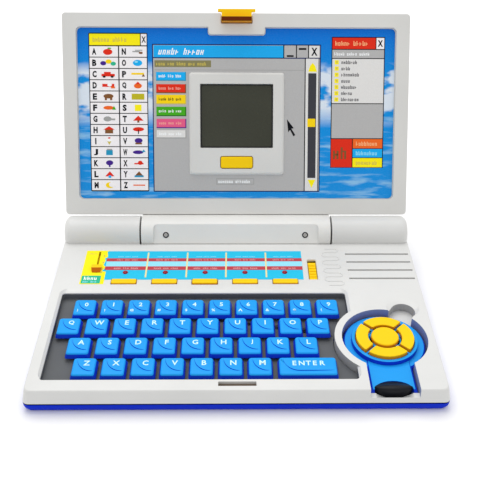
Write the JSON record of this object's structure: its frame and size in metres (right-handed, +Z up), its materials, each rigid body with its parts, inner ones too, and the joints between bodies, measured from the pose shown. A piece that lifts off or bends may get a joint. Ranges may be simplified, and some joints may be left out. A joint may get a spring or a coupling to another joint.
{
  "type": "toy laptop computer",
  "caption": "Children's electronic learning laptop with hinged lid, small screen, letter keyboard and lift-out mouse.",
  "frame": {"origin": "middle of the flat underside of the base, on the table", "axes": "+Z up, +X to the user's right, +Y towards the hinge"},
  "size_m": [0.2432, 0.2314, 0.1599],
  "materials": {
    "white_shell": "moulded, satin",
    "lid_shell": "moulded, fine texture",
    "navy_shell": "moulded, semi-gloss",
    "key_blue": "moulded, semi-gloss",
    "yellow_button": "moulded, semi-gloss",
    "tray_grey": "moulded, matte",
    "screen": "clear window over a liquid-crystal panel",
    "board": "printed circuit board",
    "label": "printed film",
    "black_grip": "satin rubber",
    "steel": "zinc-plated screw",
    "led_red": "clear red lens"
  },
  "bodies": {
    "base": {"bottom_case": "navy_shell", "top_case": "white_shell", "battery_door": "navy_shell", "keyboard_tray": "tray_grey", "main_board": "board"},
    "lid": {"lid_front": "lid_shell", "lid_back": "lid_shell", "lcd_panel": "screen"},
    "mouse": {"mouse_shell": "key_blue"},
    "key_0": {"key_0": "key_blue"},
    "key_1": {"key_1": "key_blue"},
    "key_2": {"key_2": "key_blue"},
    "key_3": {"key_3": "key_blue"},
    "key_4": {"key_4": "key_blue"},
    "key_5": {"key_5": "key_blue"},
    "key_6": {"key_6": "key_blue"},
    "key_7": {"key_7": "key_blue"},
    "key_8": {"key_8": "key_blue"},
    "key_9": {"key_9": "key_blue"},
    "key_q": {"key_q": "key_blue"},
    "key_w": {"key_w": "key_blue"},
    "key_e": {"key_e": "key_blue"},
    "key_r": {"key_r": "key_blue"},
    "key_t": {"key_t": "key_blue"},
    "key_y": {"key_y": "key_blue"},
    "key_u": {"key_u": "key_blue"},
    "key_i": {"key_i": "key_blue"},
    "key_o": {"key_o": "key_blue"},
    "key_p": {"key_p": "key_blue"},
    "key_a": {"key_a": "key_blue"},
    "key_s": {"key_s": "key_blue"},
    "key_d": {"key_d": "key_blue"},
    "key_f": {"key_f": "key_blue"},
    "key_g": {"key_g": "key_blue"},
    "key_h": {"key_h": "key_blue"},
    "key_j": {"key_j": "key_blue"},
    "key_k": {"key_k": "key_blue"},
    "key_l": {"key_l": "key_blue"},
    "key_z": {"key_z": "key_blue"},
    "key_x": {"key_x": "key_blue"},
    "key_c": {"key_c": "key_blue"},
    "key_v": {"key_v": "key_blue"},
    "key_b": {"key_b": "key_blue"},
    "key_n": {"key_n": "key_blue"},
    "key_m": {"key_m": "key_blue"},
    "key_enter": {"key_enter": "key_blue"},
    "activity_button_1": {"activity_button_1": "yellow_button"},
    "activity_button_2": {"activity_button_2": "yellow_button"},
    "activity_button_3": {"activity_button_3": "yellow_button"},
    "activity_button_4": {"activity_button_4": "yellow_button"},
    "activity_button_5": {"activity_button_5": "yellow_button"},
    "pad_up": {"pad_up": "yellow_button"},
    "pad_right": {"pad_right": "yellow_button"},
    "pad_down": {"pad_down": "yellow_button"},
    "pad_left": {"pad_left": "yellow_button"},
    "pad_centre": {"pad_centre": "yellow_button"},
    "picture_button": {"picture_button": "yellow_button"},
    "lid_latch": {"lid_latch": "yellow_button"},
    "power_switch": {"power_switch": "yellow_button"},
    "mode_slider": {"mode_slider": "yellow_button"}
  },
  "joints": [
    {"name": "lid_hinge", "type": "hinge", "parent": "base", "child": "lid", "pos_m": [0, 0.06945, 0.0225], "axis": [-1, 0, 0], "range_deg": [-120, 0]},
    {"name": "latch_pivot", "type": "hinge", "parent": "lid", "child": "lid_latch", "pos_m": [0, 0.13969, 0.15527], "axis": [1, 0, 0], "range_deg": [0, 8], "stiffness_Nm_per_rad": 0.3, "springref_deg": -5.73},
    {"name": "picture_button_press", "type": "slide", "parent": "lid", "child": "picture_button", "axis": [0, 0.887, -0.4617], "range_m": [0, 0.0008], "stiffness_N_per_m": 400, "springref_m": -0.001},
    {"name": "mouse_lift", "type": "slide", "parent": "base", "child": "mouse", "axis": [0, -0.0436, 0.999], "range_m": [0, 0.014]},
    {"name": "power_slide", "type": "slide", "parent": "base", "child": "power_switch", "axis": [0, 0.999, 0.0436], "range_m": [0, 0.003]},
    {"name": "mode_slide", "type": "slide", "parent": "base", "child": "mode_slider", "axis": [0, 0.999, 0.0436], "range_m": [0, 0.0175]},
    {"name": "key_0_press", "type": "slide", "parent": "base", "child": "key_0", "axis": [0, 0.0436, -0.999], "range_m": [0, 0.002], "stiffness_N_per_m": 150, "springref_m": -0.002},
    {"name": "key_1_press", "type": "slide", "parent": "base", "child": "key_1", "axis": [0, 0.0436, -0.999], "range_m": [0, 0.002], "stiffness_N_per_m": 150, "springref_m": -0.002},
    {"name": "key_2_press", "type": "slide", "parent": "base", "child": "key_2", "axis": [0, 0.0436, -0.999], "range_m": [0, 0.002], "stiffness_N_per_m": 150, "springref_m": -0.002},
    {"name": "key_3_press", "type": "slide", "parent": "base", "child": "key_3", "axis": [0, 0.0436, -0.999], "range_m": [0, 0.002], "stiffness_N_per_m": 150, "springref_m": -0.002},
    {"name": "key_4_press", "type": "slide", "parent": "base", "child": "key_4", "axis": [0, 0.0436, -0.999], "range_m": [0, 0.002], "stiffness_N_per_m": 150, "springref_m": -0.002},
    {"name": "key_5_press", "type": "slide", "parent": "base", "child": "key_5", "axis": [0, 0.0436, -0.999], "range_m": [0, 0.002], "stiffness_N_per_m": 150, "springref_m": -0.002},
    {"name": "key_6_press", "type": "slide", "parent": "base", "child": "key_6", "axis": [0, 0.0436, -0.999], "range_m": [0, 0.002], "stiffness_N_per_m": 150, "springref_m": -0.002},
    {"name": "key_7_press", "type": "slide", "parent": "base", "child": "key_7", "axis": [0, 0.0436, -0.999], "range_m": [0, 0.002], "stiffness_N_per_m": 150, "springref_m": -0.002},
    {"name": "key_8_press", "type": "slide", "parent": "base", "child": "key_8", "axis": [0, 0.0436, -0.999], "range_m": [0, 0.002], "stiffness_N_per_m": 150, "springref_m": -0.002},
    {"name": "key_9_press", "type": "slide", "parent": "base", "child": "key_9", "axis": [0, 0.0436, -0.999], "range_m": [0, 0.002], "stiffness_N_per_m": 150, "springref_m": -0.002},
    {"name": "key_q_press", "type": "slide", "parent": "base", "child": "key_q", "axis": [0, 0.0436, -0.999], "range_m": [0, 0.002], "stiffness_N_per_m": 150, "springref_m": -0.002},
    {"name": "key_w_press", "type": "slide", "parent": "base", "child": "key_w", "axis": [0, 0.0436, -0.999], "range_m": [0, 0.002], "stiffness_N_per_m": 150, "springref_m": -0.002},
    {"name": "key_e_press", "type": "slide", "parent": "base", "child": "key_e", "axis": [0, 0.0436, -0.999], "range_m": [0, 0.002], "stiffness_N_per_m": 150, "springref_m": -0.002},
    {"name": "key_r_press", "type": "slide", "parent": "base", "child": "key_r", "axis": [0, 0.0436, -0.999], "range_m": [0, 0.002], "stiffness_N_per_m": 150, "springref_m": -0.002},
    {"name": "key_t_press", "type": "slide", "parent": "base", "child": "key_t", "axis": [0, 0.0436, -0.999], "range_m": [0, 0.002], "stiffness_N_per_m": 150, "springref_m": -0.002},
    {"name": "key_y_press", "type": "slide", "parent": "base", "child": "key_y", "axis": [0, 0.0436, -0.999], "range_m": [0, 0.002], "stiffness_N_per_m": 150, "springref_m": -0.002},
    {"name": "key_u_press", "type": "slide", "parent": "base", "child": "key_u", "axis": [0, 0.0436, -0.999], "range_m": [0, 0.002], "stiffness_N_per_m": 150, "springref_m": -0.002},
    {"name": "key_i_press", "type": "slide", "parent": "base", "child": "key_i", "axis": [0, 0.0436, -0.999], "range_m": [0, 0.002], "stiffness_N_per_m": 150, "springref_m": -0.002},
    {"name": "key_o_press", "type": "slide", "parent": "base", "child": "key_o", "axis": [0, 0.0436, -0.999], "range_m": [0, 0.002], "stiffness_N_per_m": 150, "springref_m": -0.002},
    {"name": "key_p_press", "type": "slide", "parent": "base", "child": "key_p", "axis": [0, 0.0436, -0.999], "range_m": [0, 0.002], "stiffness_N_per_m": 150, "springref_m": -0.002},
    {"name": "key_a_press", "type": "slide", "parent": "base", "child": "key_a", "axis": [0, 0.0436, -0.999], "range_m": [0, 0.002], "stiffness_N_per_m": 150, "springref_m": -0.002},
    {"name": "key_s_press", "type": "slide", "parent": "base", "child": "key_s", "axis": [0, 0.0436, -0.999], "range_m": [0, 0.002], "stiffness_N_per_m": 150, "springref_m": -0.002},
    {"name": "key_d_press", "type": "slide", "parent": "base", "child": "key_d", "axis": [0, 0.0436, -0.999], "range_m": [0, 0.002], "stiffness_N_per_m": 150, "springref_m": -0.002},
    {"name": "key_f_press", "type": "slide", "parent": "base", "child": "key_f", "axis": [0, 0.0436, -0.999], "range_m": [0, 0.002], "stiffness_N_per_m": 150, "springref_m": -0.002},
    {"name": "key_g_press", "type": "slide", "parent": "base", "child": "key_g", "axis": [0, 0.0436, -0.999], "range_m": [0, 0.002], "stiffness_N_per_m": 150, "springref_m": -0.002},
    {"name": "key_h_press", "type": "slide", "parent": "base", "child": "key_h", "axis": [0, 0.0436, -0.999], "range_m": [0, 0.002], "stiffness_N_per_m": 150, "springref_m": -0.002},
    {"name": "key_j_press", "type": "slide", "parent": "base", "child": "key_j", "axis": [0, 0.0436, -0.999], "range_m": [0, 0.002], "stiffness_N_per_m": 150, "springref_m": -0.002},
    {"name": "key_k_press", "type": "slide", "parent": "base", "child": "key_k", "axis": [0, 0.0436, -0.999], "range_m": [0, 0.002], "stiffness_N_per_m": 150, "springref_m": -0.002},
    {"name": "key_l_press", "type": "slide", "parent": "base", "child": "key_l", "axis": [0, 0.0436, -0.999], "range_m": [0, 0.002], "stiffness_N_per_m": 150, "springref_m": -0.002},
    {"name": "key_z_press", "type": "slide", "parent": "base", "child": "key_z", "axis": [0, 0.0436, -0.999], "range_m": [0, 0.002], "stiffness_N_per_m": 150, "springref_m": -0.002},
    {"name": "key_x_press", "type": "slide", "parent": "base", "child": "key_x", "axis": [0, 0.0436, -0.999], "range_m": [0, 0.002], "stiffness_N_per_m": 150, "springref_m": -0.002},
    {"name": "key_c_press", "type": "slide", "parent": "base", "child": "key_c", "axis": [0, 0.0436, -0.999], "range_m": [0, 0.002], "stiffness_N_per_m": 150, "springref_m": -0.002},
    {"name": "key_v_press", "type": "slide", "parent": "base", "child": "key_v", "axis": [0, 0.0436, -0.999], "range_m": [0, 0.002], "stiffness_N_per_m": 150, "springref_m": -0.002},
    {"name": "key_b_press", "type": "slide", "parent": "base", "child": "key_b", "axis": [0, 0.0436, -0.999], "range_m": [0, 0.002], "stiffness_N_per_m": 150, "springref_m": -0.002},
    {"name": "key_n_press", "type": "slide", "parent": "base", "child": "key_n", "axis": [0, 0.0436, -0.999], "range_m": [0, 0.002], "stiffness_N_per_m": 150, "springref_m": -0.002},
    {"name": "key_m_press", "type": "slide", "parent": "base", "child": "key_m", "axis": [0, 0.0436, -0.999], "range_m": [0, 0.002], "stiffness_N_per_m": 150, "springref_m": -0.002},
    {"name": "key_enter_press", "type": "slide", "parent": "base", "child": "key_enter", "axis": [0, 0.0436, -0.999], "range_m": [0, 0.002], "stiffness_N_per_m": 150, "springref_m": -0.002},
    {"name": "activity_button_1_press", "type": "slide", "parent": "base", "child": "activity_button_1", "axis": [0, 0.0436, -0.999], "range_m": [0, 0.001], "stiffness_N_per_m": 300, "springref_m": -0.001},
    {"name": "activity_button_2_press", "type": "slide", "parent": "base", "child": "activity_button_2", "axis": [0, 0.0436, -0.999], "range_m": [0, 0.001], "stiffness_N_per_m": 300, "springref_m": -0.001},
    {"name": "activity_button_3_press", "type": "slide", "parent": "base", "child": "activity_button_3", "axis": [0, 0.0436, -0.999], "range_m": [0, 0.001], "stiffness_N_per_m": 300, "springref_m": -0.001},
    {"name": "activity_button_4_press", "type": "slide", "parent": "base", "child": "activity_button_4", "axis": [0, 0.0436, -0.999], "range_m": [0, 0.001], "stiffness_N_per_m": 300, "springref_m": -0.001},
    {"name": "activity_button_5_press", "type": "slide", "parent": "base", "child": "activity_button_5", "axis": [0, 0.0436, -0.999], "range_m": [0, 0.001], "stiffness_N_per_m": 300, "springref_m": -0.001},
    {"name": "pad_up_press", "type": "slide", "parent": "mouse", "child": "pad_up", "axis": [0, 0.0436, -0.999], "range_m": [0, 0.001], "stiffness_N_per_m": 300, "springref_m": -0.001},
    {"name": "pad_right_press", "type": "slide", "parent": "mouse", "child": "pad_right", "axis": [0, 0.0436, -0.999], "range_m": [0, 0.001], "stiffness_N_per_m": 300, "springref_m": -0.001},
    {"name": "pad_down_press", "type": "slide", "parent": "mouse", "child": "pad_down", "axis": [0, 0.0436, -0.999], "range_m": [0, 0.001], "stiffness_N_per_m": 300, "springref_m": -0.001},
    {"name": "pad_left_press", "type": "slide", "parent": "mouse", "child": "pad_left", "axis": [0, 0.0436, -0.999], "range_m": [0, 0.001], "stiffness_N_per_m": 300, "springref_m": -0.001},
    {"name": "pad_centre_press", "type": "slide", "parent": "mouse", "child": "pad_centre", "axis": [0, 0.0436, -0.999], "range_m": [0, 0.001], "stiffness_N_per_m": 300, "springref_m": -0.001}
  ]
}
